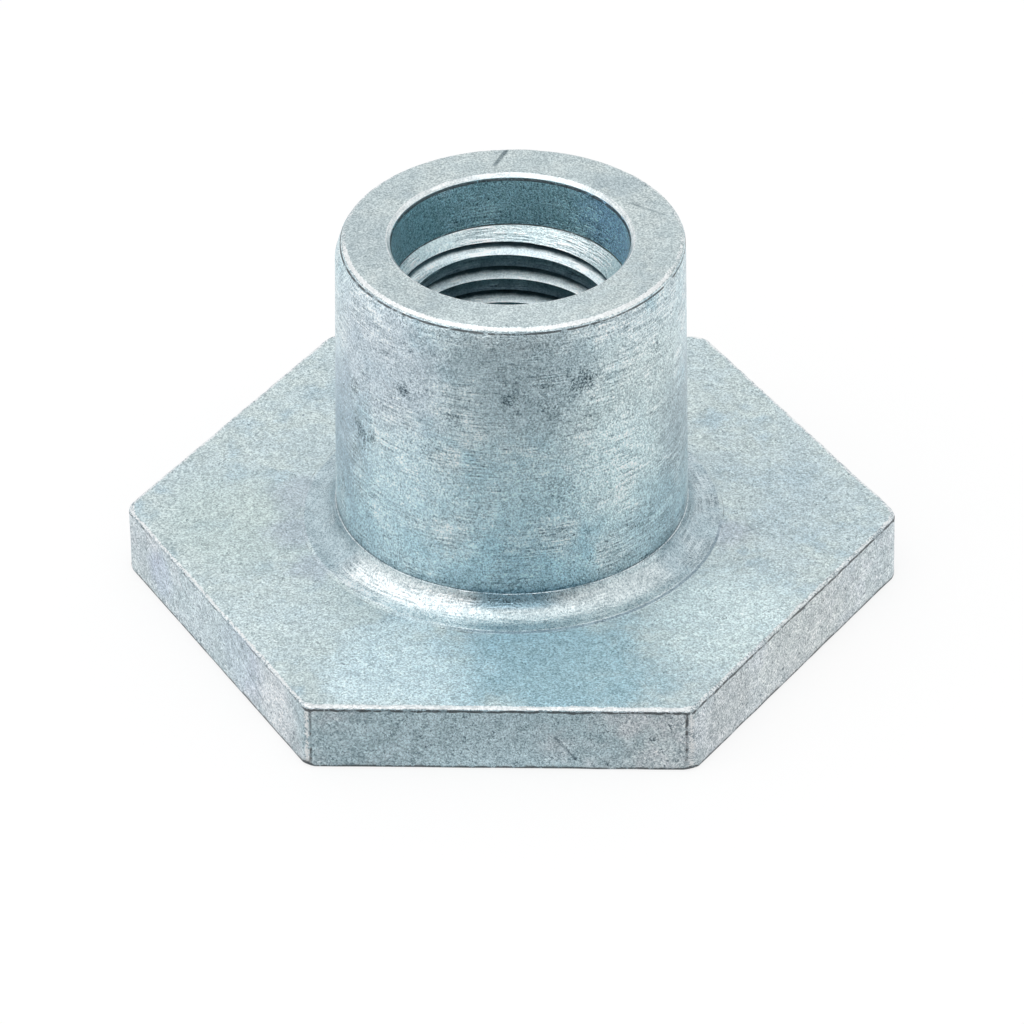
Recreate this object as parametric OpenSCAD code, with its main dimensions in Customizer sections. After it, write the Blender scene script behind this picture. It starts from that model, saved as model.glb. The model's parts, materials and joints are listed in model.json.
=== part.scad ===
// Air cleaner mounting nut: a thin hexagonal flange and a round threaded barrel, made as one piece.
// Sizes are in millimetres. The origin is the centre of the flange's underside, and +Z runs up the barrel.
// Two of the flange's corners point along X, and two of its flats face along Y.

/* [Flange] */
// Distance across the flats of the hexagonal flange
flange_flats = 30; // [27:0.5:36]
// Thickness of the flange
flange_t = 3.2; // [2:0.1:6]
// Radius of the flange's six corners, seen from above
corner_r = 0.6; // [0.4:0.1:3]
// Rounding of the flange's upper edge
upper_edge_r = 0.25; // [0.1:0.05:0.5]
// Rounding of the flange's lower edge
lower_edge_r = 0.15; // [0.1:0.05:0.5]

/* [Barrel] */
// Height of the whole nut, from the flange's underside to the barrel's rim
height = 17.7; // [12:0.1:36]
// Outer diameter of the barrel at its rim
barrel_d = 15.3; // [14:0.1:19]
// Draft of the barrel's wall, in degrees, which widens it towards its foot
barrel_draft = 1; // [0:0.1:2]
// Rounding of the rim's outer edge
rim_edge_r = 0.3; // [0.1:0.05:0.5]

/* [Foot] */
// Radius of the fillet between the barrel and the flange
foot_fillet_r = 1.2; // [0.4:0.1:1.6]
// Width of the raised land around the fillet
foot_land_w = 0.2; // [0.1:0.05:0.4]
// Height of the raised land above the flange
foot_land_h = 0.08; // [0.04:0.02:0.2]

/* [Thread] */
// Nominal diameter of the thread
thread_d = 10; // [8:0.5:11]
// Depth of the thread, measured along a radius, which sets the drilled bore that it is cut in
thread_depth = 0.55; // [0.4:0.05:0.8]
// Gap on each side between the thread and the chamfer where the bore opens at the underside
entry_clearance = 0.3; // [0.1:0.05:0.5]

/* [Counterbore] */
// Gap on each side between the thread and the wall of the counterbore
counterbore_clearance = 0.2; // [0.1:0.05:0.4]
// Depth of the counterbore's straight part, measured from the rim
counterbore_depth = 2.55; // [1:0.05:5]
// Full angle of the cone between the counterbore and the thread, in degrees
seat_angle = 70; // [60:1:120]
// Chamfer at the mouth of the counterbore
mouth_chamfer = 0.2; // [0.1:0.05:0.4]

/* [Hidden] */
steel = [0.66, 0.74, 0.77];
sides = 6;
// How far a cut runs past the face that it opens through
overrun = 1;
$fn = 96;

flank_angle = 180 / sides;
// Distance from the axis to the centre of a corner's arc, which is also the length of a straight edge
corner_reach = (flange_flats / 2 - corner_r) / cos(flank_angle);

// Centre of the foot's fillet: it is tangent to the land and to the drafted wall
land_z = flange_t + foot_land_h;
fillet_z = land_z + foot_fillet_r;
fillet_x = wallRadius(fillet_z) + foot_fillet_r / cos(barrel_draft);
land_r = fillet_x + foot_land_w;
// The land's sloping side runs on down to this height inside the flange
land_root_z = flange_t - upper_edge_r;

// Centre of the rim's rounding: it is tangent to the rim and to the drafted wall
rim_z = height - rim_edge_r;
rim_x = wallRadius(rim_z) - rim_edge_r / cos(barrel_draft);

bore_r = thread_d / 2 - thread_depth;
entry_r = thread_d / 2 + entry_clearance;
counterbore_r = thread_d / 2 + counterbore_clearance;
seat_z = height - counterbore_depth;
seat_h = (counterbore_r - bore_r) / tan(seat_angle / 2);

// Radius of the barrel's drafted wall at a height
function wallRadius(z) = barrel_d / 2 + (height - z) * tan(barrel_draft);

// Point on a circle around [x, z], at an angle from the radial direction
function onCircle(x, z, r, angle) = [x + r * cos(angle), z + r * sin(angle)];

// What rounding with radius r takes off a square corner whose arc is centred on the origin
module cornerWaste(r) {
    difference() {
        square(r + overrun);
        circle(r);
    }
}

// Section across the flange from its middle to a flat, with the flat's two edges rounded
module halfSection() {
    difference() {
        square([flange_flats / 2, flange_t]);
        translate([flange_flats / 2 - upper_edge_r, flange_t - upper_edge_r]) cornerWaste(upper_edge_r);
        translate([flange_flats / 2 - lower_edge_r, lower_edge_r]) mirror([0, 1]) cornerWaste(lower_edge_r);
    }
}

// A long bar whose sides are two opposite flats of the flange
module flatPair() {
    translate([-flange_flats, 0, 0]) rotate([90, 0, 90]) linear_extrude(2 * flange_flats) {
        halfSection();
        mirror([1, 0]) halfSection();
    }
}

// Plan of the six rounded corners. Between them it lies outside the flats
module cornerPlan() {
    circle(corner_reach, $fn = sides);
    for (i = [0 : sides - 1]) rotate(i * 360 / sides) {
        translate([corner_reach, 0]) circle(corner_r);
        rotate(flank_angle) translate([corner_reach * cos(flank_angle), -corner_reach / 2])
            square([corner_r + overrun, corner_reach]);
    }
}

// The flats come from three crossed bars, and the corners from the plan
module flange() {
    intersection() {
        translate([0, 0, -overrun]) linear_extrude(flange_t + 2 * overrun) cornerPlan();
        intersection_for (i = [0 : sides / 2 - 1]) rotate(i * 360 / sides) flatPair();
    }
}

// Half section of the barrel, with its rounded rim, drafted wall, foot fillet and land
module barrelSection() {
    difference() {
        polygon([
            [0, land_root_z],
            [land_r + land_z - land_root_z, land_root_z],
            [land_r, land_z],
            [fillet_x, land_z],
            onCircle(fillet_x, fillet_z, foot_fillet_r, 180 + barrel_draft),
            onCircle(rim_x, rim_z, rim_edge_r, barrel_draft),
            [rim_x, height],
            [0, height]
        ]);
        translate([fillet_x, fillet_z]) circle(foot_fillet_r);
    }
    translate([rim_x, rim_z]) circle(rim_edge_r);
}

// Half section of the hole: entry chamfer, thread bore, conical seat, counterbore and chamfered mouth
module boreSection() {
    polygon([
        [0, -overrun],
        [entry_r + overrun, -overrun],
        [bore_r, entry_r - bore_r],
        [bore_r, seat_z - seat_h],
        [counterbore_r, seat_z],
        [counterbore_r, height - mouth_chamfer],
        [counterbore_r + mouth_chamfer + overrun, height + overrun],
        [0, height + overrun]
    ]);
}

module nut() {
    color(steel) difference() {
        union() {
            flange();
            rotate_extrude() barrelSection();
        }
        rotate_extrude() boreSection();
    }
}

nut();
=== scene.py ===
import json
import math
import bmesh
import bpy
from mathutils import Matrix, Quaternion, Vector, noise


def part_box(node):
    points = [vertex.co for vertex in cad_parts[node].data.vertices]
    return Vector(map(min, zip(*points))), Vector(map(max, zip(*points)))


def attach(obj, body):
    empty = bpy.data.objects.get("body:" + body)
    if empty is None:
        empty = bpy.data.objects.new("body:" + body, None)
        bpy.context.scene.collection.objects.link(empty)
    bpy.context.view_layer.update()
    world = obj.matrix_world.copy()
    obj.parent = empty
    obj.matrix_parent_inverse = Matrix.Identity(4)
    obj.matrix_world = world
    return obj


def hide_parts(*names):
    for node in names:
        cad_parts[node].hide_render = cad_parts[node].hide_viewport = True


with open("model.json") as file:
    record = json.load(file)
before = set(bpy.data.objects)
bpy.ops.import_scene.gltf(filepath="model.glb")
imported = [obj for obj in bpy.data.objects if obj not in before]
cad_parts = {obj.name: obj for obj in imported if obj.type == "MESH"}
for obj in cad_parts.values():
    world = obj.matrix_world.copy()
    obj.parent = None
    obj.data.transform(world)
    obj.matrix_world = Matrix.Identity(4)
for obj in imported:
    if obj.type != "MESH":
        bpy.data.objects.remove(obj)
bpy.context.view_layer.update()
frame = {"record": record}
print("frame loaded")

mm = 0.001                            # shapes are worked out in millimetres and then scaled
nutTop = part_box("nut")[1].z / mm      # height of the rim
mounts = {mount["name"]: mount for mount in frame["record"]["mounts"]}

cameraView = {
    "lens": 221.5,          # millimetres, on a sensor 36 mm wide
    "distance": 282.6 * mm,  # from the point it looks at
    "elevation": 34.5,      # degrees above the floor
    "azimuth": 1.17,        # degrees round from the flat that faces the camera
    "roll": 0.33,           # degrees that the nut leans to the left
    "aimHeight": 3.19 * mm,
}


def makeCamera(look):
    lens = bpy.data.cameras.new("camera")
    lens.lens = look["lens"]
    lens.sensor_width = 36
    lens.clip_start = 0.01
    lens.clip_end = 20
    camera = bpy.data.objects.new("camera", lens)
    bpy.context.scene.collection.objects.link(camera)
    around = math.radians(look["azimuth"])
    up = math.radians(look["elevation"])
    back = Vector((math.sin(around) * math.cos(up), -math.cos(around) * math.cos(up), math.sin(up)))
    camera.location = Vector((0, 0, look["aimHeight"])) + back * look["distance"]
    camera.rotation_mode = "QUATERNION"
    roll = Quaternion((0, 0, 1), -math.radians(look["roll"]))
    camera.rotation_quaternion = (-back).to_track_quat("-Z", "Y") @ roll
    bpy.context.scene.camera = camera


makeCamera(cameraView)
print("camera placed")


class Field:
    # a number, colour or vector that varies over a surface
    def __init__(self, finish, socket):
        self.finish = finish
        self.socket = socket

    def __add__(self, other):
        return self.finish.maths("ADD", self, other)

    def __sub__(self, other):
        return self.finish.maths("SUBTRACT", self, other)

    def __rsub__(self, other):
        return self.finish.maths("SUBTRACT", other, self)

    def __mul__(self, other):
        return self.finish.maths("MULTIPLY", self, other)

    def __truediv__(self, other):
        return self.finish.maths("DIVIDE", self, other)

    def __rtruediv__(self, other):
        return self.finish.maths("DIVIDE", other, self)

    def __abs__(self):
        return self.finish.maths("ABSOLUTE", self)

    __radd__ = __add__
    __rmul__ = __mul__


class Finish:
    # the node tree of a material or of the world
    def __init__(self, owner):
        owner.use_nodes = True
        self.tree = owner.node_tree
        self.tree.nodes.clear()

    def node(self, kind, settings=None, inputs=None, output=0):
        made = self.tree.nodes.new("ShaderNode" + kind)
        for key, value in (settings or {}).items():
            setattr(made, key, value)
        for key, value in (inputs or {}).items():
            if isinstance(value, Field):
                self.tree.links.new(value.socket, made.inputs[key])
            else:
                made.inputs[key].default_value = value
        return Field(self, made.outputs[output]) if len(made.outputs) else None

    def maths(self, operation, a, b=0.0):
        return self.node("Math", {"operation": operation}, {0: a, 1: b})

    def vector(self, operation, a, b=(0, 0, 0), output=0):
        return self.node("VectorMath", {"operation": operation}, {0: a, 1: b}, output)

    def scaled(self, vector, factor):
        # a vector or a colour times a number
        return self.node("VectorMath", {"operation": "SCALE"}, {0: vector, "Scale": factor})

    def part(self, vector, axis):
        # one coordinate of a vector
        return self.node("SeparateXYZ", {}, {0: vector}, axis)

    def flat(self, place):
        # the place without its height, which points out from the nut's axis
        return self.vector("MULTIPLY", place, (1, 1, 0))

    def radius(self, place):
        return self.vector("LENGTH", self.flat(place), output="Value")

    def mix(self, mask, a, b):
        # colour a where the mask is 0, colour b where it is 1
        sockets = {0: mask, 6: rgba(a), 7: rgba(b)}
        return self.node("Mix", {"data_type": "RGBA"}, sockets, 2)

    def step(self, value, low, high):
        # goes smoothly from 0 to 1 as the value goes from low to high, upwards or downwards
        return self.node("MapRange", {"interpolation_type": "SMOOTHSTEP"}, {0: value, 1: low, 2: high})

    def grain(self, place, size, detail, rough, bend=0.0):
        # noise around 0.5, with lumps of the given size in millimetres
        shape = {"Scale": 1 / size, "Detail": detail, "Roughness": rough, "Distortion": bend}
        return self.node("TexNoise", {}, {"Vector": place, **shape})

    def blots(self, place, size, detail, rough, low, high):
        # grain that is 0 up to its low level and 1 from its high level on
        return self.step(self.grain(place, size, detail, rough), low, high)


def rgba(colour):
    return colour if isinstance(colour, Field) else (*colour, 1)


nutThread = {               # millimetres
    "pitch": 1.25,
    "majorR": 5.0,
    "flankAngle": 30,       # degrees
    "rootFlat": 0.04,
    "topTurn": 14.34,       # height of the top groove's centre, at the back
    "cutterR": 4.1,         # inner radius of the cutter, inside the bore
    "cutterEnds": (-1.5, 16.4),  # heights of its ends, beyond both ends of the thread
    "steps": 240,           # steps in one turn
    # pitches above the middle of the groove at which the crest starts to darken with painted shade and is
    # dark
    "crestFade": (0.36, 0.6),
    # distances in from the major radius at which the root starts to darken with painted shadow and is dark
    "rootFade": (0.3, 0.12),
    "rootUneven": 0.04,
}

# Each surface of the nut: colours, the strength of each mark as a share, and the bump's height, places and
# sizes in millimetres. The colours are partly the zinc's own tone and partly painted light and shade: the
# bore's dark colour is painted shade, and the pale mouth, seat and thread's flanks are partly painted
# highlight. A tint, partly tone and partly painted highlight and shade, has its centre, reach, colour and
# strength, a smudge the way it faces in degrees, its height, reach and strength, and a scratch its ends,
# width and strength. A band of painted highlight and shade has the way it faces, the degrees to each side
# at which it starts to fade and ends, the heights at which it starts and is full, its colour and strength
zincLooks = {
    "flange": {
        "base": (0.54, 0.64, 0.67), "patch": (0.57, 0.66, 0.67), "shade": (0.47, 0.59, 0.645),
        "metallic": 0.75, "roughness": 0.52,
        "grain": 0.52, "mottle": 0.26, "strokes": 0.56, "specks": 0.12, "lines": 0.0, "bump": 0.022,
        # tints: partly the flange's tone, partly painted highlight and shade at the front and painted shade
        # round the foot
        "tints": [
            ((1.8, -11.9, 3.2), 6.5, (0.37, 0.57, 0.65), 0.75),
            ((-4.8, -12.4, 3.2), 4.5, (0.68, 0.82, 0.87), 0.75),
            ((-10, -8.5, 3.2), 4.5, (0.64, 0.74, 0.76), 0.6),
            ((9.6, -8.4, 3.2), 5, (0.68, 0.81, 0.83), 0.65),
            ((-12.5, -1, 3.2), 5, (0.54, 0.64, 0.63), 0.6),
            ((12.5, 1.5, 3.2), 4.5, (0.5, 0.61, 0.66), 0.5),
            ((-9.6, 1.2, 3.2), 1.9, (0.44, 0.51, 0.58), 0.6),
            ((-9.8, -1.6, 3.2), 1.6, (0.44, 0.51, 0.59), 0.6),
            ((-8.8, -4.6, 3.2), 1.4, (0.48, 0.55, 0.63), 0.5),
            ((9.7, -1.6, 3.2), 1.6, (0.46, 0.52, 0.6), 0.5),
        ],
        # a band of painted shade along the land's edge, on the front right
        "bands": [(305, 40, 60, 3.21, 3.23, (0.22, 0.3, 0.36), 0.8)],
        "scratches": [
            ((10.5, -0.9, 3.2), (11.1, -1.7, 3.2), 0.05, 0.3),
            ((10.4, -1.5, 3.2), (11.1, -1.1, 3.2), 0.05, 0.25),
        ],
    },
    "sides": {
        "base": (0.6, 0.68, 0.71), "patch": (0.63, 0.69, 0.73), "shade": (0.52, 0.6, 0.64),
        "metallic": 0.9, "roughness": 0.46,
        "grain": 0.6, "mottle": 0.45, "strokes": 0.8, "specks": 0.35, "lines": 0.0, "bump": 0.026,
        # tints: partly the faces' tone, partly painted shade over the front face and a painted highlight on
        # its left corner
        "tints": [
            ((-2.2, -15, 1.6), 10, (0.42, 0.57, 0.63), 0.8),
            ((-11.5, -9.8, 1.9), 2.6, (0.5, 0.56, 0.71), 0.45),
            ((-15.6, -2.8, 1.7), 1.6, (0.45, 0.52, 0.7), 0.45),
            ((13, -7, 1.6), 6.5, (0.62, 0.66, 0.66), 0.6),
            ((-13.5, -6.8, 1.6), 6, (0.54, 0.66, 0.71), 0.6),
            ((-9.8, -12.6, 1.5), 2.4, (0.74, 0.79, 0.83), 0.7),
            ((9.8, -12.6, 1.5), 3, (0.54, 0.58, 0.6), 0.65),
        ],
        "scratches": [
            ((2.1, -15, 1.7), (3, -15, 0.55), 0.07, 0.5),
            ((-12.2, -8.7, 2.6), (-10.7, -11.3, 1), 0.06, 0.35),
        ],
    },
    "foot": {
        "base": (0.42, 0.53, 0.58), "patch": (0.46, 0.55, 0.59), "shade": (0.39, 0.49, 0.54),
        "metallic": 1.0, "roughness": 0.3,
        "grain": 0.45, "mottle": 0.35, "strokes": 0.45, "specks": 0.2, "lines": 0.3, "bump": 0.016,
        # bands of painted highlight and shade on the fillet, by the way it faces and its height; the foot's
        # darker base is partly painted shade too
        "bands": [
            (268, 33, 52, 3.74, 3.54, (0.52, 0.6, 0.62), 0.9),
            (236, 15, 27, 4.35, 4.15, (0.72, 0.79, 0.81), 0.95),
            (273, 6, 16, 3.6, 3.8, (0.31, 0.51, 0.62), 0.75),
            (304, 10, 26, 4.35, 4.1, (0.6, 0.68, 0.7), 0.85),
        ],
    },
    "barrel": {
        "base": (0.6, 0.74, 0.79), "patch": (0.66, 0.77, 0.81), "shade": (0.47, 0.64, 0.71),
        "metallic": 1.0, "roughness": 0.42,
        "grain": 0.6, "mottle": 0.32, "strokes": 0.6, "specks": 0.25, "lines": 0.3, "bump": 0.024,
        # tints: partly the barrel's tone, partly painted highlights beside the front and painted shade on
        # its sides and at the top of the front
        "tints": [
            ((0.3, -7.8, 4.2), 5, (0.46, 0.67, 0.76), 0.65),
            ((-5.5, -5.5, 6.2), 4.2, (0.54, 0.72, 0.8), 0.6),
            ((-5.6, -5.3, 14.5), 5, (0.58, 0.64, 0.71), 0.6),
            ((5.6, -5.3, 13), 5, (0.62, 0.71, 0.71), 0.6),
            ((0.5, -7.7, 15.5), 4.5, (0.44, 0.55, 0.6), 0.7),
            ((-7.6, -1.6, 9.5), 4.5, (0.36, 0.46, 0.54), 0.7),
            ((7.6, -1.6, 9.5), 4.5, (0.4, 0.49, 0.53), 0.7),
            ((0.4, -7.7, 9.5), 3.5, (0.56, 0.73, 0.79), 0.6),
            ((5.4, -5.5, 9), 3, (0.74, 0.86, 0.87), 0.6),
            ((6.6, -4.6, 5.5), 4, (0.44, 0.6, 0.66), 0.6),
            ((4.6, -6.1, 10.5), 2.6, (0.7, 0.86, 0.9), 0.6),
            ((-4.6, -6.1, 9.8), 2.8, (0.69, 0.85, 0.92), 0.6),
        ],
        "smudges": [
            (209.5, 12.5, 0.6, 0.55), (234, 13.7, 0.55, 0.6), (214.5, 10.2, 0.9, 0.5),
            (282, 15.1, 0.8, 0.25), (295, 14.8, 0.9, 0.5), (271.5, 14.3, 0.8, 0.3),
            (283.5, 13.7, 0.6, 0.25), (251, 13.1, 0.6, 0.25), (287, 9.5, 0.7, 0.2),
            (325, 15, 0.6, 0.25), (244, 11.2, 0.8, 0.15),
        ],
        # a band of painted shade in the crease at the barrel's foot, on the front
        "bands": [(277, 10, 26, 4.6, 4.3, (0.24, 0.43, 0.54), 0.7)],
        # painted shade low on the barrel, above the crease: height at which it ends, height from which it
        # is full, and its strength
        "lowShades": [(5.4, 4.1, 0.2), (4.5, 4.22, 0.15)],
    },
    "rim": {
        "base": (0.51, 0.595, 0.615), "patch": (0.55, 0.625, 0.635), "shade": (0.45, 0.535, 0.565),
        "metallic": 0.9, "roughness": 0.44,
        "grain": 0.5, "mottle": 0.2, "strokes": 0.4, "specks": 0.2, "lines": 0.08, "bump": 0.018,
        # tints: partly the rim's tone, partly painted light, paler at the front and darker on the left
        "tints": [
            ((0, -6.6, 17.7), 4, (0.57, 0.66, 0.68), 0.7),
            ((-6.6, 0, 17.7), 3.5, (0.45, 0.535, 0.565), 0.6),
        ],
        "scratches": [
            ((-0.8, 6.05, 17.7), (-0.32, 7.25, 17.7), 0.1, 0.6),
            ((5.2, 2.9, 17.7), (6.7, 1.95, 17.7), 0.06, 0.35),
        ],
    },
    # the chamfer's pale colours are partly painted highlight
    "mouth": {
        "base": (0.72, 0.78, 0.8), "patch": (0.78, 0.83, 0.84), "shade": (0.6, 0.68, 0.7),
        "metallic": 1.0, "roughness": 0.36,
        "grain": 0.25, "mottle": 0.2, "strokes": 0.1, "specks": 0.1, "lines": 0.2, "bump": 0.014,
    },
    "counterbore": {
        "base": (0.35, 0.58, 0.655), "patch": (0.395, 0.62, 0.695), "shade": (0.285, 0.48, 0.55),
        "metallic": 1.0, "roughness": 0.38,
        "grain": 0.7, "mottle": 0.4, "strokes": 0.8, "specks": 0.1, "lines": 0.4, "bump": 0.022,
        # tints: partly bluer tone, partly painted light, paler on the right and darker on the left; the
        # wall's dark teal is partly painted shade
        "tints": [
            ((4.4, 2.6, 16.2), 3, (0.4, 0.65, 0.89), 0.8),
            ((-4.6, 2.2, 16.2), 3.4, (0.25, 0.46, 0.52), 0.75),
        ],
    },
    # the cone's pale colours are partly painted highlight
    "seat": {
        "base": (0.74, 0.87, 0.89), "patch": (0.8, 0.9, 0.92), "shade": (0.66, 0.8, 0.84),
        "metallic": 1.0, "roughness": 0.38,
        "grain": 0.35, "mottle": 0.15, "strokes": 0.3, "specks": 0.0, "lines": 0.35, "bump": 0.02,
    },
    # the bore's dark colours are painted shade inside the hole, and crestFoot paints the lower part of each
    # crest paler
    "bore": {
        "base": (0.11, 0.2, 0.23), "patch": (0.14, 0.23, 0.26), "shade": (0.09, 0.16, 0.19),
        "metallic": 1.0, "roughness": 0.4, "crestFoot": (0.2, 0.29, 0.34),
        "grain": 0.4, "mottle": 0.3, "strokes": 0.2, "specks": 0.1, "lines": 0.5, "bump": 0.015,
    },
    # the flanks' pale colours are partly painted highlight, and root is the colour of the painted shadow in
    # the groove's root
    "thread": {
        "base": (0.82, 0.92, 0.95), "patch": (0.85, 0.94, 0.96), "shade": (0.7, 0.82, 0.87),
        "metallic": 0.85, "roughness": 0.5, "root": (0.07, 0.125, 0.15),
        "grain": 0.25, "mottle": 0.12, "strokes": 0.1, "specks": 0.0, "lines": 0.3, "bump": 0.012,
    },
    "underside": {
        "base": (0.53, 0.62, 0.65), "patch": (0.57, 0.64, 0.66), "shade": (0.45, 0.55, 0.6),
        "metallic": 0.8, "roughness": 0.48,
        "grain": 0.3, "mottle": 0.2, "strokes": 0.25, "specks": 0.2, "lines": 0.1, "bump": 0.016,
    },
}

# Shared by all the surfaces, in millimetres. Each noise has its size, detail and roughness, and those that
# are blots have the two levels between which they fade in
zincMarks = {
    "mottle": (0.6, 3, 0.65, 0.3, 0.7),
    "fine": (0.085, 1, 0.6, 0.32, 0.68),
    "shades": (2.2, 4, 0.65, 0.5, 0.7),
    "specks": (0.5, 3, 0.7, 0.6, 0.7),
    "lines": (1, 2, 0.6, 0.3, 0.7),       # size in widths of a line
    "lineWidth": 0.085,
    "lineLength": 1.6,
    "lineR": 8,                           # radius at which the lines have that length
    "cloud": (2.2, 4, 0.65),
    "patches": (0.42, 0.6),               # levels of the cloud at which patches start and are full
    "elsewhere": (40, 7, 3),              # how far away a second, unlike sample of a noise is taken
    "strokes": (0.24, 0.6, 0.5, 0.8),     # the last is how bent they are
    "strokeFade": (0.004, 0.035),         # how far from its middle level the noise starts to leave a stroke
    "brightStrokes": 0.8,                 # against the dark ones
    "tintUneven": 1.3,
    "smudgeUneven": 0.8,
    "smudgeParts": (0.25, 0.5),           # even darkening, and how much the fine grain adds to it
    "scratchBase": 0.4,                   # share of a scratch that doesn't depend on the grain
    "shadeUneven": 0.1,
    "darkest": 0.1,
    "bluer": (0.12, 0, -0.06),            # red, green and blue: added to the power of a mark's darkness
    "worn": (0.8, 0.83, 0.84),            # colour of rubbed edges and their painted highlight
    "wornUneven": (0.4, 0.3),             # by the fine grain, by the mottle
    "wornFade": (0.3, 0.6),
    "wornGrain": 0.2,
    # colour of the grime and painted shade in creases and under edges
    "grime": (0.07, 0.08, 0.085),
    "grimeUneven": (0.7, 1.2),
    "grimeFade": (0.25, 0.7),
    "grimeCover": 0.9,
    "roughGrain": 0.1,
    "roughWorn": -0.06,                   # change of roughness on rubbed edges
}


def turnedPlace(finish, place, marks):
    # coordinates in which noise draws fine lines round the nut's axis
    width = marks["lineWidth"]
    across = {"X": finish.radius(place) / width, "Z": finish.part(place, "Z") / width}
    outward = finish.vector("NORMALIZE", finish.flat(place))
    around = finish.scaled(outward, marks["lineR"] / marks["lineLength"])
    return finish.vector("ADD", finish.node("CombineXYZ", {}, across), around)


def strokes(finish, place, marks):
    # short thin curls, 1 along their middles
    ridge = abs(finish.grain(place, *marks["strokes"]) - 0.5)
    return 1 - finish.step(ridge, *marks["strokeFade"])


def scratch(finish, place, start, end, width):
    # 1 along the line from start to end, fading across its edges
    along = Vector(end) - Vector(start)
    fromStart = finish.vector("SUBTRACT", place, start)
    share = finish.vector("DOT_PRODUCT", fromStart, along / along.length_squared, "Value")
    share = finish.node("Clamp", {}, {0: share})
    nearest = finish.scaled(finish.node("CombineXYZ", {}, dict(zip("XYZ", along))), share)
    return 1 - finish.step(finish.vector("DISTANCE", fromStart, nearest, "Value"), width * 0.4, width * 1.6)


def nearness(finish, place, centre, reach, uneven):
    # 1 close to the centre, fading unevenly from about a third of the reach to 0 at about all of it
    far = finish.vector("DISTANCE", place, centre, "Value") / reach
    return 1 - finish.step(far + uneven, 0.35, 1)


def crestShade(finish, place, thread):
    # painted shade: 1 along the upper part of the thread's crest, which keeps the bore's dark colour, 0
    # along its lower part, which is painted paler
    x, y, z = (finish.part(place, axis) for axis in "XYZ")
    turnsFromBack = finish.maths("ARCTAN2", y, x) / (2 * math.pi) - 0.25
    share = finish.maths("FRACT", (z - thread["topTurn"]) / thread["pitch"] - turnsFromBack)
    return finish.step(share, *thread["crestFade"])


def rootShade(finish, place, thread, mottle):
    # painted shadow: 1 in the root of the thread's groove
    depth = thread["majorR"] - finish.radius(place)
    return finish.step(depth + (mottle - 0.5) * thread["rootUneven"], *thread["rootFade"])


def wallPoint(finish, place, facing, height):
    # the point at the given height that faces the given way, on the round wall that the place is on
    facing = math.radians(facing)
    outward = finish.scaled((math.cos(facing), math.sin(facing), 0), finish.radius(place))
    return finish.vector("ADD", outward, (0, 0, height))


def paintedBand(finish, place, facing, narrow, wide, start, full):
    # mask of a band of painted light and shade: 1 beyond the height called full, on the side that faces one
    # way, and 0 before the height called start
    facing, narrow, wide = (math.radians(angle) for angle in (facing, narrow, wide))
    outward = finish.vector("NORMALIZE", finish.flat(place))
    toward = finish.vector("DOT_PRODUCT", outward, (math.cos(facing), math.sin(facing), 0), "Value")
    beyond = finish.step(finish.part(place, "Z"), start, full)
    return beyond * finish.step(toward, math.cos(wide), math.cos(narrow))


def zincNoises(finish, place, marks):
    # what makes the zinc uneven, each from 0 to 1
    elsewhere = finish.vector("ADD", place, marks["elsewhere"])
    mottle = finish.blots(place, *marks["mottle"])
    cloud = finish.grain(place, *marks["cloud"])
    return {
        "mottle": mottle,
        "fine": finish.blots(place, *marks["fine"]),
        "cloud": cloud,
        "patches": finish.step(cloud, *marks["patches"]),
        "shades": finish.blots(elsewhere, *marks["shades"]),
        "specks": finish.blots(elsewhere, *marks["specks"]),
        "lines": finish.blots(turnedPlace(finish, place, marks), *marks["lines"]),
        "darkStrokes": strokes(finish, place, marks) * mottle,
        "brightStrokes": strokes(finish, elsewhere, marks) * (1 - mottle),
    }


def uneven(noises, fineShare, mottleShare):
    # around 0, from the fine grain and the mottle
    return (noises["fine"] - 0.5) * fineShare + (noises["mottle"] - 0.5) * mottleShare


def zincColour(finish, place, look, marks, noises):
    # the zinc's colour: its patches and tone, with painted light and shade from the tints, the bands and
    # the thread's crest and root
    colour = finish.mix(noises["patches"], look["base"], look["patch"])
    colour = finish.mix(noises["shades"], colour, look["shade"])
    ragged = (noises["cloud"] - 0.5) * marks["tintUneven"]
    for centre, reach, tint, amount in look.get("tints", ()):
        colour = finish.mix(nearness(finish, place, centre, reach, ragged) * amount, colour, tint)
    for *region, tint, amount in look.get("bands", ()):
        colour = finish.mix(paintedBand(finish, place, *region) * amount, colour, tint)
    if "crestFoot" in look:
        colour = finish.mix(crestShade(finish, place, nutThread), look["crestFoot"], colour)
    if "root" in look:
        colour = finish.mix(rootShade(finish, place, nutThread, noises["mottle"]), colour, look["root"])
    return colour


def zincRelief(look, marks, noises):
    # grain, turned lines and strokes, which are both bumps and changes of brightness
    curls = noises["brightStrokes"] * marks["brightStrokes"] - noises["darkStrokes"]
    lines = (noises["lines"] - 0.5) * (look["lines"] * 2) * noises["patches"]
    return (noises["fine"] - 0.5) * look["grain"] + lines + curls * look["strokes"]


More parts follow.
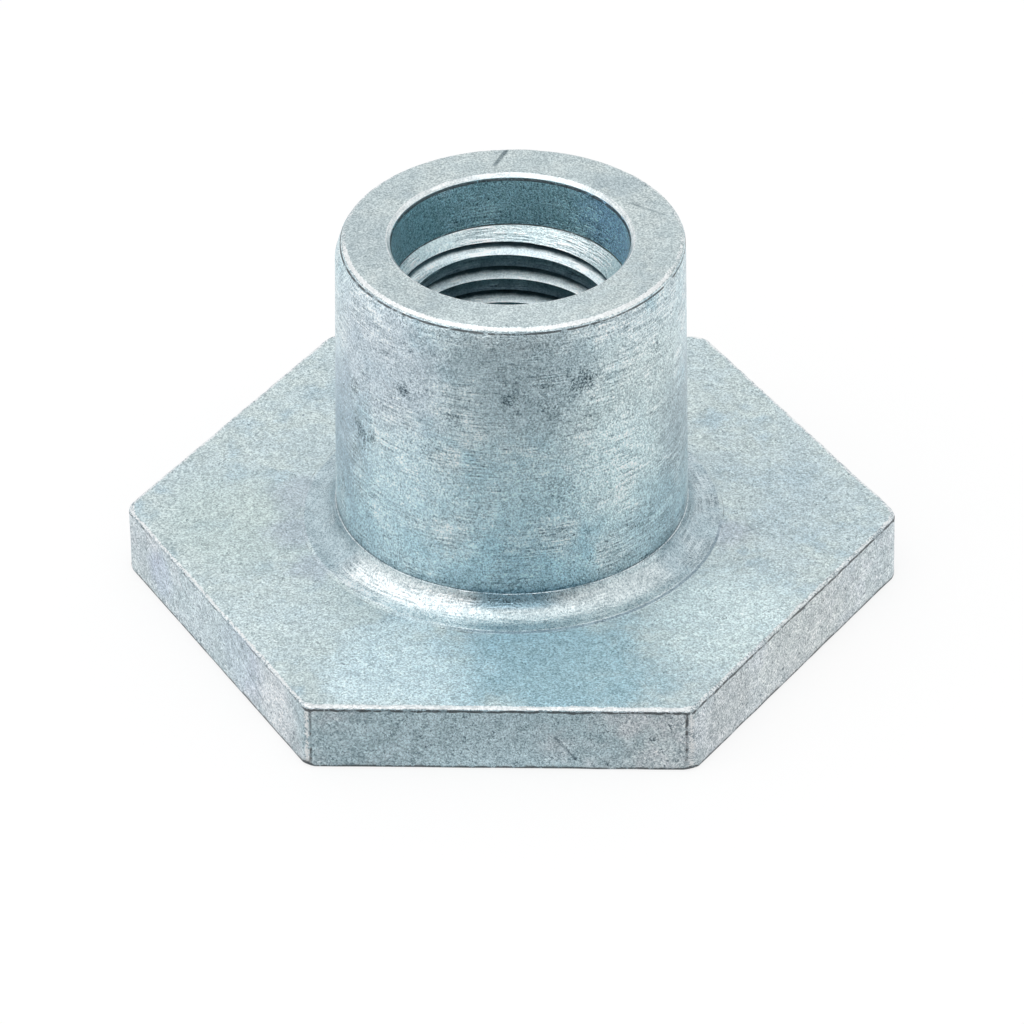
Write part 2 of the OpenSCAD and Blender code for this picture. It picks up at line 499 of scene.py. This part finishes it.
def zincLevel(finish, place, look, marks, noises):
    # brightness around 1, without the relief: mottle, specks, smudges, scratches and painted shade low on
    # the barrel
    fine, mottle = noises["fine"], noises["mottle"]
    even, grainy = marks["smudgeParts"]
    level = 1 + (mottle - 0.5) * look["mottle"] - noises["specks"] * look["specks"]
    for facing, height, reach, amount in look.get("smudges", ()):
        centre = wallPoint(finish, place, facing, height)
        smudge = nearness(finish, place, centre, reach, (mottle - 0.5) * marks["smudgeUneven"])
        level = level - smudge * (even + noises["darkStrokes"] + (1 - fine) * grainy) * amount
    for start, end, width, amount in look.get("scratches", ()):
        level = level - scratch(finish, place, start, end, width) * (amount * (marks["scratchBase"] + fine))
    for low, high, amount in look.get("lowShades", ()):
        height = finish.part(place, "Z") + (mottle - 0.5) * marks["shadeUneven"]
        level = level - finish.step(height, low, high) * amount
    return level


def zincWear(finish, colour, edge, marks, noises):
    # bright metal where edges are rubbed, partly painted highlight, and dark lines of grime and painted
    # shade in creases and under edges
    rubbedAndSheen = finish.step(edge + uneven(noises, *marks["wornUneven"]), *marks["wornFade"])
    worn = finish.scaled(marks["worn"], 1 + (noises["fine"] - 0.5) * marks["wornGrain"])
    grime = finish.node("Attribute", {"attribute_name": "grime"}, output="Fac")
    grimedAndShaded = finish.step(grime * (uneven(noises, *marks["grimeUneven"]) + 1), *marks["grimeFade"])
    return finish.mix(grimedAndShaded * marks["grimeCover"], finish.mix(rubbedAndSheen, colour, worn), marks["grime"])


def zincPlate(name, look, marks):
    material = bpy.data.materials.new(name)
    finish = Finish(material)
    place = finish.scaled(finish.node("TexCoord", output="Object"), 1 / mm)
    noises = zincNoises(finish, place, marks)
    relief = zincRelief(look, marks, noises)
    level = relief + zincLevel(finish, place, look, marks, noises)
    level = finish.maths("MAXIMUM", level, marks["darkest"])
    # the darker a mark, the bluer it is
    levels = [finish.maths("POWER", level, 1 + shift) for shift in marks["bluer"]]
    shade = finish.node("CombineXYZ", {}, dict(zip("XYZ", levels)))
    colour = finish.vector("MULTIPLY", zincColour(finish, place, look, marks, noises), shade)

    edge = finish.node("Attribute", {"attribute_name": "edge"}, output="Fac")
    rough = look["roughness"] + (noises["fine"] - 0.5) * marks["roughGrain"] + edge * marks["roughWorn"]
    height = relief * look["bump"] * mm
    shader = finish.node("BsdfPrincipled", {}, {
        "Base Color": zincWear(finish, colour, edge, marks, noises),
        "Metallic": look["metallic"],
        "Roughness": rough,
        "Normal": finish.node("Bump", {}, {"Strength": 1.0, "Distance": 1.0, "Height": height}),
    })
    finish.node("OutputMaterial", {}, {"Surface": shader})
    return material


surfaces = list(zincLooks)
zincPlates = [zincPlate("zinc_" + name, zincLooks[name], zincMarks) for name in surfaces]
print("zinc made")


nutShape = {                # millimetres
    # which way each flat of the flange faces, in degrees, its distance from the axis, how much further out
    # its foot lies, the rounding of its upper edge, how rubbed and painted bright that edge is and how dark
    # the line of grime and painted shade under it is
    "flats": [
        (30.5, 14.97, 0, 0.16, 0.5, 0.5), (90, 14.72, 0, 0.18, 0.6, 0.4), (148.9, 15.0, 0, 0.16, 0.5, 0.4),
        (210, 14.94, 0, 0.13, 0.6, 0.5), (269.7, 14.95, 0, 0.2, 1.0, 0.95),
        (328.2, 14.71, 0.12, 0.16, 0.4, 0.95),
    ],
    "cornerRs": (1.0, 1.0, 1.0, 0.65, 0.75, 1.1),  # radius of the corner after each flat
    "cornerWear": 0.4,      # share by which the flange's upper edge is rounder at its corners
    "lowerEdge": 0.1,
    "lowerWear": 0.7,       # share by which its lower edge is rounder there
    "edgeSteps": (4, 6, 8),  # steps round the lower edge, up the flat and round the upper edge
    "edgeGap": (0.07, 0.06),  # from the flat's first and last points to its lower and upper edge
    "edgeUneven": 0.35,     # share by which the rounding of the edges varies
    "cornerRubbed": 0.6,    # how rubbed and painted bright the middle of a corner is
    "lowerGrime": (0.9, 0.3),  # painted shade along the lower edge and at the foot of the flat
    "darkLine": (1, 2.8),   # step of the upper edge at which the line of grime and painted shade is darkest, and its half width
    "brightLine": (2.6, 4.1),  # steps of that edge at which the rubbing and painted highlight start and are full
    "barrelR": 7.65,        # radius of the barrel at its rim
    "barrelDraft": 1.0,     # degrees
    "rimEdge": 0.26,
    "rimInset": 0.13,       # how far the rim's edge lies inside the wall, over a slope
    "rimSlope": 0.21,       # height of that slope
    "rimShift": 0.25,       # how much further in the rim's edge lies on one side
    "rimShiftWay": (-0.87, -0.5),
    "rimBright": 262,       # degrees, where the edge is rubbed and painted brightest, on the side toward the camera
    "rimBrightFade": (0.15, 0.6),  # cosines of the angle from there at which the rubbing and painted highlight start and are full
    "rimDull": 0.35,        # rubbing and painted highlight elsewhere
    "rimUneven": 0.3,
    "footFillet": 1.2,
    "footCrease": 15.5,     # degrees round the fillet at which the wall's cut ends in a small step
    "footLip": 0.09,        # how far the fillet's end stands up
    "footStep": 0.05,
    "footStepTop": 0.11,    # height of the step above the fillet's end
    "footLand": 0.2,        # width of the raised land round the fillet
    "landHeight": 0.08,
    "landRamp": 0.2,        # width of the slope from the land to the flange
    "counterboreDepth": 2.55,
    "seatAngle": 70,        # degrees, full angle of the cone above the thread
    "mouthChamfer": 0.22,
    "entryR": 5.3,          # radius of the chamfer at the underside
    "turnedSteps": 0.6,     # between points on the long straight parts of the section
    "arcSteps": 9,          # degrees between points on its roundings
    "flatSteps": 60,        # steps along each flat of the hexagon
    "cornerSteps": 10,      # steps round each corner of the hexagon
    "faceSteps": (14, 12),  # steps across the underside and the flange's top
    "nicks": 0.06,          # how far the rubbed edges are worn in
    "sharpAngle": 32,       # degrees, from which an edge is drawn as sharp
}


def ramp(value, low, high):
    # rises from 0 to 1 as the value goes from low to high
    return min(1, max(0, (value - low) / (high - low)))


class Spot:
    # a place on the nut's section: radius and height, the surface that starts there, rubbing with painted
    # highlight, and grime with painted shade
    def __init__(self, place, surface, edge=0.0, grime=0.0):
        self.place = Vector(place)
        self.surface = surface
        self.edge = edge
        self.grime = grime


def wallRadius(shape, height):
    return shape["barrelR"] + (nutTop - height) * math.tan(math.radians(shape["barrelDraft"]))


def turnedSection(shape):
    # (radius, height, rounding, surface from here on, rubbing with painted highlight, grime with painted
    # shade) up over the rim and down the bore
    flangeT = mounts["flange_top"]["pos_m"][2] / mm
    boreR = mounts["thread"]["dims"]["r_mm"]
    counterboreR = mounts["counterbore"]["dims"]["r_mm"]
    fillet, chamfer, entryR = shape["footFillet"], shape["mouthChamfer"], shape["entryR"]
    landZ = flangeT + shape["landHeight"]
    filletX = wallRadius(shape, landZ + fillet) + fillet / math.cos(math.radians(shape["barrelDraft"]))
    filletStart = filletX - fillet * math.tan(math.radians(90 - shape["footCrease"]) / 2)
    landR = filletX + shape["footLand"]
    crease = math.radians(shape["footCrease"])
    creaseZ = landZ + fillet * (1 - math.sin(crease))
    lipR = filletX - fillet * math.cos(crease) - shape["footLip"] * math.sin(crease)
    lipZ = creaseZ + shape["footLip"] * math.cos(crease)
    wallZ = creaseZ + 0.6   # from here up the wall is straight
    seatZ = nutTop - shape["counterboreDepth"]
    seatFootZ = seatZ - (counterboreR - boreR) / math.tan(math.radians(shape["seatAngle"] / 2))
    return [
        (landR + 0.5, flangeT, 0, "flange", 0, 0),
        # painted shade along the land's outer edge
        (landR + shape["landRamp"], flangeT, 0.2, "flange", 0, 0.35),
        (landR, landZ, 0.2, "foot", 0, 0),
        (filletStart, landZ, fillet, "foot", 0, 0),
        # the lip is rubbed and painted bright, and painted shade fills the step above it
        (lipR, lipZ, 0.03, "foot", 0.8, 0),
        (lipR - shape["footStep"], creaseZ + shape["footStepTop"], 0.03, "barrel", 0, 0.8),
        (wallRadius(shape, wallZ), wallZ, 0.5, "barrel", 0, 0),
        # painted shade under the rim's edge, which is rubbed and painted bright
        (shape["barrelR"], nutTop - shape["rimSlope"], 0.2, "barrel", 0, 0.85),
        (shape["barrelR"] - shape["rimInset"], nutTop, shape["rimEdge"], "rim", 1, 0),
        # the mouth's edge is rubbed and painted bright, with painted shade under it and in the corner at
        # the seat
        (counterboreR + chamfer, nutTop, 0.06, "mouth", 0.7, 0),
        (counterboreR, nutTop - chamfer, 0.22, "counterbore", 0, 1.4),
        (counterboreR, seatZ, 0.12, "seat", 0, 1.5),
        (boreR, seatFootZ, 0.08, "bore", 0, 0),
        (boreR, entryR - boreR, 0.04, "underside", 0.3, 0),
        (entryR, 0, 0.05, "underside", 0.5, 0),
        (entryR + 0.35, 0, 0, "underside", 0, 0),
    ]


def roundedSpots(points, straightStep, arcStep):
    # spots along the section, with an arc at each inner point
    spots = [Spot(points[0][:2], points[0][3])]
    for before, here, after in zip(points, points[1:], points[2:]):
        corner = Vector(here[:2])
        rounding, surface, edge, grime = here[2:]
        inward = (Vector(before[:2]) - corner).normalized()
        onward = (Vector(after[:2]) - corner).normalized()
        bend = math.pi - inward.angle(onward)
        reach = rounding * math.tan(bend / 2)
        start, end = corner + inward * reach, corner + onward * reach
        centre = corner + (inward + onward).normalized() * (rounding / math.cos(bend / 2))
        count = max(2, math.ceil(math.degrees(bend) / arcStep))
        addStretch(spots, start, straightStep)
        spots[-1].surface = surface
        for i in range(1, count):
            share = i / count
            around = (start - centre).slerp(end - centre, share).normalized()
            strength = min(1, 1.5 * math.sin(math.pi * share))  # the marks fade at the arc's ends
            spots.append(Spot(centre + around * rounding, surface, edge * strength, grime * strength))
        spots.append(Spot(end, surface))
    addStretch(spots, Vector(points[-1][:2]), straightStep)
    return spots


def addStretch(spots, end, step):
    # a straight stretch, with a short step at each end so that its shading stays flat
    start, surface = spots[-1].place, spots[-1].surface
    length = (end - start).length
    guard = 0.06            # length of those steps
    if length > 4 * guard:
        inner = max(1, round(length / step))
        shares = [guard / length]
        shares += [i / inner for i in range(1, inner) if guard < i / inner * length < length - guard]
        shares += [1 - guard / length]
        spots += [Spot(start.lerp(end, share), surface) for share in shares]
    spots.append(Spot(end, surface))


class Station:
    # a place on the flange's outline, which way is outward there, how far its foot leans out, its upper
    # edge's rounding, rubbing with painted highlight and grime with painted shade, and how far round a
    # corner it lies, as a share
    def __init__(self, place, outward, lean, upper, edge, grime, corner):
        self.place = place
        self.outward = outward
        self.lean = lean
        self.upper = upper
        self.edge = edge
        self.grime = grime
        self.corner = corner


def cornerCentre(before, after, cornerR):
    # where two flats, each moved in by the corner's radius, cross
    first, second = math.radians(before[0]), math.radians(after[0])
    near, far = before[1] - cornerR, after[1] - cornerR
    x = near * math.sin(second) - far * math.sin(first)
    y = far * math.cos(first) - near * math.cos(second)
    return Vector((x, y)) / math.sin(second - first)


def flangeOutline(shape):
    flats, radii = shape["flats"], shape["cornerRs"]
    stations = []
    for i, here in enumerate(flats):
        before, after = flats[i - 1], flats[(i + 1) % len(flats)]
        lastR, cornerR = radii[i - 1], radii[i]
        facing = math.radians(here[0])
        outward = Vector((math.cos(facing), math.sin(facing)))
        start = cornerCentre(before, here, lastR) + outward * lastR
        centre = cornerCentre(here, after, cornerR)
        for j in range(shape["flatSteps"]):
            place = start.lerp(centre + outward * cornerR, j / shape["flatSteps"])
            stations.append(Station(place, outward, *here[2:], 0))
        turn = math.radians((after[0] - here[0]) % 360)
        for j in range(shape["cornerSteps"]):
            share = j / shape["cornerSteps"]
            angle = facing + turn * share
            outward = Vector((math.cos(angle), math.sin(angle)))
            mixed = [a + (b - a) * share for a, b in zip(here[2:], after[2:])]
            stations.append(Station(centre + outward * cornerR, outward, *mixed, share))
    return stations


def edgeSection(shape, lower, upper, flangeT, station):
    # (inset, height, rubbing with painted highlight, grime with painted shade) up the flange's side, for
    # edges of the given roundings
    lowerSteps, sideSteps, upperSteps = shape["edgeSteps"]
    lowerGrime, footPaintedShade = shape["lowerGrime"]
    darkest, halfWidth = shape["darkLine"]
    # a corner is rubbed and painted bright along its middle, with painted shade beside that where the upper
    # edge is dark and rubbed
    rubbedAndSheen = math.sin(math.pi * station.corner) ** 4 * shape["cornerRubbed"]
    cornerPaintedShade = abs(math.sin(2 * math.pi * station.corner)) ** 4 * (station.grime * station.edge) ** 2
    section = []
    for i in range(lowerSteps + 1):
        turn = math.pi / 2 * i / lowerSteps
        section.append((lower * (1 - math.sin(turn)), lower * (1 - math.cos(turn)), 0, lowerGrime))
    first, last = lower + shape["edgeGap"][0], flangeT - upper - shape["edgeGap"][1]
    for i in range(sideSteps + 1):
        section.append((0, first + (last - first) * i / sideSteps, rubbedAndSheen, cornerPaintedShade if i else footPaintedShade))
    for i in range(upperSteps + 1):
        turn = math.pi / 2 * i / upperSteps
        grime = station.grime * max(0, 1 - abs(i - darkest) / halfWidth)
        edge = station.edge * ramp(i, *shape["brightLine"])
        section.append((upper * (1 - math.cos(turn)), flangeT - upper * (1 - math.sin(turn)), edge, grime))
    return [(inset - station.lean * (1 - z / flangeT), z, edge, grime) for inset, z, edge, grime in section]


class Loop:
    # one closed row of points round the nut, and the surface between it and the next
    def __init__(self, points, surface, edges, grimes):
        self.points = points
        self.surface = surface
        self.edges = edges
        self.grimes = grimes


def turnedPoint(shape, place, outward):
    # the rim's edge isn't quite round: it lies further in on one side
    radius, height = place
    share = ramp(radius, shape["barrelR"] - 1, shape["barrelR"] - 0.4)
    share *= ramp(height, nutTop - 0.6, nutTop - 0.2)
    toward = max(0, 0.5 + 0.5 * outward.dot(Vector(shape["rimShiftWay"])))
    radius -= shape["rimShift"] * share * toward
    return Vector((*(outward * radius), height))


def rimRubbingAndSheen(shape, outward):
    # the rim's edge is rubbed and painted bright on the side toward the camera, and less so elsewhere
    facing = math.radians(shape["rimBright"])
    toward = outward.dot(Vector((math.cos(facing), math.sin(facing))))
    bright = ramp(toward, *shape["rimBrightFade"])
    return min(1, shape["rimDull"] + bright + shape["rimUneven"] * noise.noise(outward.to_3d() * 4))


def turnedLoops(shape, stations):
    loops = []
    ways = [station.place.normalized() for station in stations]
    rubbedAndSheen = [rimRubbingAndSheen(shape, way) for way in ways]
    patchy = [0.9 + 0.5 * noise.noise(way.to_3d() * 7) for way in ways]  # the grime and painted shade come and go
    for spot in roundedSpots(turnedSection(shape), shape["turnedSteps"], shape["arcSteps"]):
        points = [turnedPoint(shape, spot.place, way) for way in ways]
        edges = [spot.edge * (share if spot.surface == "rim" else 1) for share in rubbedAndSheen]
        loops.append(Loop(points, spot.surface, edges, [spot.grime * share for share in patchy]))
    return loops


def sideLoops(shape, stations):
    flangeT = mounts["flange_top"]["pos_m"][2] / mm
    uneven = shape["edgeUneven"]
    sections = []
    for station in stations:
        place = station.place.to_3d()
        cornered = math.sin(math.pi * station.corner)
        upper = station.upper * (1 + shape["cornerWear"] * cornered)
        upper *= 1 + uneven * noise.noise(place * 0.8) + uneven * noise.noise(place * 3)
        lower = shape["lowerEdge"] * (1 + shape["lowerWear"] * cornered)
        lower *= 1 + uneven * noise.noise(place * 0.9 + Vector((0, 0, 9)))
        sections.append(edgeSection(shape, lower, upper, flangeT, station))
    loops = []
    for row in zip(*sections):
        insets, heights, edges, grimes = zip(*row)
        points = []
        for station, inset, height in zip(stations, insets, heights):
            points.append(Vector((*(station.place - station.outward * inset), height)))
        loops.append(Loop(points, "sides", edges, grimes))
    loops[-1].surface = "flange"
    return loops


def across(first, last, surface, count):
    # loops over the flat face between two others, with a short step at both ends
    loops = []
    plain = [0.0] * len(first.points)
    guard = 0.012           # share of the way
    for share in [guard] + [i / count for i in range(1, count)] + [1 - guard]:
        points = [p.lerp(q, share) for p, q in zip(first.points, last.points)]
        loops.append(Loop(points, surface, plain, plain))
    return loops


def makeNutMesh(shape):
    stations = flangeOutline(shape)
    turned = turnedLoops(shape, stations)
    sides = sideLoops(shape, stations)
    underSteps, topSteps = shape["faceSteps"]
    loops = turned + across(turned[-1], sides[0], "underside", underSteps)
    loops += sides + across(sides[-1], turned[0], "flange", topSteps)

    mesh = bmesh.new()
    edgeLayer = mesh.verts.layers.float.new("edge")
    grimeAndShadeLayer = mesh.verts.layers.float.new("grime")
    rows = []
    for loop in loops:
        row = [mesh.verts.new(point) for point in loop.points]
        for vert, edge, grime in zip(row, loop.edges, loop.grimes):
            vert[edgeLayer] = edge
            vert[grimeAndShadeLayer] = grime
        rows.append(row)
    for j, row in enumerate(rows):
        following = rows[(j + 1) % len(rows)]
        for i in range(len(row)):
            k = (i + 1) % len(row)
            face = mesh.faces.new((row[i], row[k], following[k], following[i]))
            face.material_index = surfaces.index(loops[j].surface)
            face.smooth = True
    bmesh.ops.recalc_face_normals(mesh, faces=mesh.faces)
    mesh.normal_update()
    for vert in mesh.verts:
        if vert[edgeLayer] > 0:
            # long dents with small ones on them
            bite = max(0, 0.2 + noise.noise(vert.co * 0.9) + 0.6 * noise.noise(vert.co * 8))
            vert.co -= vert.normal * bite * vert[edgeLayer] * shape["nicks"]
    return mesh


def makeThreadCutter(thread):
    # a long coil with the section of the groove, which runs out of the bore at both ends
    inner, outer, steps = thread["cutterR"], thread["majorR"], thread["steps"]
    low, high = thread["cutterEnds"]
    root = thread["rootFlat"] / 2     # half widths of the groove at its root and at the inner radius
    mouth = root + (outer - inner) * math.tan(math.radians(thread["flankAngle"]))
    section = [(inner, -mouth), (outer, -root), (outer, root), (inner, mouth)]
    mesh = bmesh.new()
    first = math.floor((low - thread["topTurn"]) / thread["pitch"]) * steps
    last = math.ceil((high - thread["topTurn"]) / thread["pitch"]) * steps
    loops = []
    for i in range(first, last + 1):
        angle = math.pi / 2 + 2 * math.pi * i / steps
        lift = thread["topTurn"] + thread["pitch"] * i / steps
        places = [(r * math.cos(angle), r * math.sin(angle), lift + z) for r, z in section]
        loops.append([mesh.verts.new(place) for place in places])
    for loop, following in zip(loops, loops[1:]):
        for i in range(len(section)):
            k = (i + 1) % len(section)
            mesh.faces.new((loop[i], loop[k], following[k], following[i]))
    mesh.faces.new(loops[0])
    mesh.faces.new(loops[-1])
    for face in mesh.faces:
        face.material_index = surfaces.index("thread")
        face.smooth = True
    bmesh.ops.recalc_face_normals(mesh, faces=mesh.faces)
    return mesh


def meshObject(mesh, name, materials=()):
    data = bpy.data.meshes.new(name)
    for material in materials:
        data.materials.append(material)
    mesh.to_mesh(data)
    mesh.free()
    data.transform(Matrix.Scale(mm, 4))
    made = bpy.data.objects.new(name, data)
    bpy.context.scene.collection.objects.link(made)
    return made


def clearMarks(mesh, surface):
    # the cut copies marks from elsewhere on the nut to the groove's points
    index = surfaces.index(surface)
    points = {i for face in mesh.polygons if face.material_index == index for i in face.vertices}
    for name in ("edge", "grime"):
        marks = mesh.attributes[name].data
        for i in points:
            marks[i].value = 0


def makeNut():
    nut = meshObject(makeNutMesh(nutShape), "nut_body", zincPlates)
    cutter = meshObject(makeThreadCutter(nutThread), "thread_cutter", zincPlates)
    cut = nut.modifiers.new("thread", "BOOLEAN")
    cut.operation = "DIFFERENCE"
    cut.solver = "EXACT"
    cut.object = cutter
    bpy.context.view_layer.update()
    baked = bpy.data.meshes.new_from_object(nut.evaluated_get(bpy.context.evaluated_depsgraph_get()))
    nut.modifiers.clear()
    nut.data = baked
    bpy.data.objects.remove(cutter)
    baked.set_sharp_from_angle(angle=math.radians(nutShape["sharpAngle"]))
    clearMarks(baked, "thread")
    return nut


nut = makeNut()
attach(nut, "root")
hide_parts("nut")
print("nut shaped:", len(nut.data.polygons), "faces")


studio = {                  # metres, watts and, for levels and colours, shares of white
    "floorSize": 3.0,
    "skyLevel": 0.95,       # the world's strength for diffuse light
    "floorColour": (0.9, 0.9, 0.9),
    "floorLift": 0.8,       # share of the floor that is plain white to the eye
    "flagLift": 0.1 * mm,
    # distances from the nut's axis at which the dark card in front of it has points, and its level there
    "flagRows": [
        (15.6 * mm, 0.68), (19.5 * mm, 0.68), (24 * mm, 0.5),
        (60 * mm, 0.5), (180 * mm, 0.15), (300 * mm, 0.15),
    ],
    "flagTop": 30,          # degrees above the floor, up to which its far end stands up
    "flagTopShares": (0.3, 0.6, 0.85, 1),
    "flagSpread": (22, 52),  # degrees to each side at which it starts to fade and ends
    "flagSteps": 24,
    # place, width and power
    "lamps": {
        "top_lamp": ((0, -0.1, 0.45), 0.45, 0.3),
        "key_lamp": ((-0.25, -0.12, 0.35), 0.5, 0.35),
    },
}


def seenDirectly(finish):
    # 1 for what the eye sees straight, in metal or through glass
    straight = finish.node("LightPath", output="Is Camera Ray")
    mirrored = finish.node("LightPath", output="Is Glossy Ray")
    through = finish.node("LightPath", output="Is Transmission Ray")
    return finish.maths("MINIMUM", straight + mirrored + through, 1.0)


def makeWorld(look):
    world = bpy.data.worlds.new("studio")
    bpy.context.scene.world = world
    finish = Finish(world)
    seen = seenDirectly(finish)
    strength = seen + (1 - seen) * look["skyLevel"]
    sky = finish.node("Background", {}, {"Color": (1, 1, 1, 1), "Strength": strength})
    finish.node("OutputWorld", {}, {"Surface": sky})


def makeFloor(look):
    mesh = bmesh.new()
    bmesh.ops.create_grid(mesh, x_segments=1, y_segments=1, size=look["floorSize"] / 2 / mm)
    floor = meshObject(mesh, "floor")
    material = bpy.data.materials.new("floor")
    finish = Finish(material)
    matt = finish.node("BsdfDiffuse", {}, {"Color": rgba(look["floorColour"])})
    white = finish.node("Emission", {}, {"Color": (1, 1, 1, 1), "Strength": 1.0})
    shown = finish.node("MixShader", {}, {0: seenDirectly(finish) * look["floorLift"], 1: matt, 2: white})
    under = finish.node("NewGeometry", output="Backfacing")     # clear when seen from below
    clear = finish.node("BsdfTransparent")
    shown = finish.node("MixShader", {}, {0: under, 1: shown, 2: clear})
    finish.node("OutputMaterial", {}, {"Surface": shown})
    floor.data.materials.append(material)


def makeFlag(look):
    # a dark card in front of the nut, which only the metal sees
    fade, spread = (math.radians(angle) for angle in look["flagSpread"])
    section = [(distance, look["flagLift"], dark) for distance, dark in look["flagRows"]]
    reach, farLevel = look["flagRows"][-1]
    for share in look["flagTopShares"]:
        section.append((reach, reach * math.tan(math.radians(look["flagTop"] * share)), farLevel))
    mesh = bmesh.new()
    level = mesh.verts.layers.float.new("level")
    rows = []
    for i in range(look["flagSteps"] + 1):
        turn = spread * (2 * i / look["flagSteps"] - 1)
        blend = ramp(abs(turn), fade, spread)
        blend = blend * blend * (3 - 2 * blend)
        row = []
        for distance, height, dark in section:
            place = Vector((distance * math.sin(turn), -distance * math.cos(turn), height))
            vert = mesh.verts.new(place / mm)
            vert[level] = dark + (1 - dark) * blend
            row.append(vert)
        rows.append(row)
    for row, following in zip(rows, rows[1:]):
        for j in range(len(section) - 1):
            mesh.faces.new((row[j], row[j + 1], following[j + 1], following[j]))
    flag = meshObject(mesh, "flag")
    material = bpy.data.materials.new("flag")
    finish = Finish(material)
    shown = finish.node("Attribute", {"attribute_name": "level"}, output="Fac")
    card = finish.node("Emission", {}, {"Color": (1, 1, 1, 1), "Strength": shown})
    finish.node("OutputMaterial", {}, {"Surface": card})
    flag.data.materials.append(material)
    flag.visible_camera = False
    flag.visible_diffuse = False
    flag.visible_shadow = False
    flag.visible_transmission = False


def makeLamp(name, place, size, power):
    light = bpy.data.lights.new(name, "AREA")
    light.shape = "DISK"
    light.size = size
    light.energy = power
    lamp = bpy.data.objects.new(name, light)
    bpy.context.scene.collection.objects.link(lamp)
    lamp.location = place
    lamp.rotation_mode = "QUATERNION"
    lamp.rotation_quaternion = (-Vector(place)).to_track_quat("-Z", "Y")


makeWorld(studio)
makeFloor(studio)
makeFlag(studio)
for name, (place, size, power) in studio["lamps"].items():
    makeLamp(name, place, size, power)
bpy.context.scene.view_settings.view_transform = "Standard"
print("studio set")
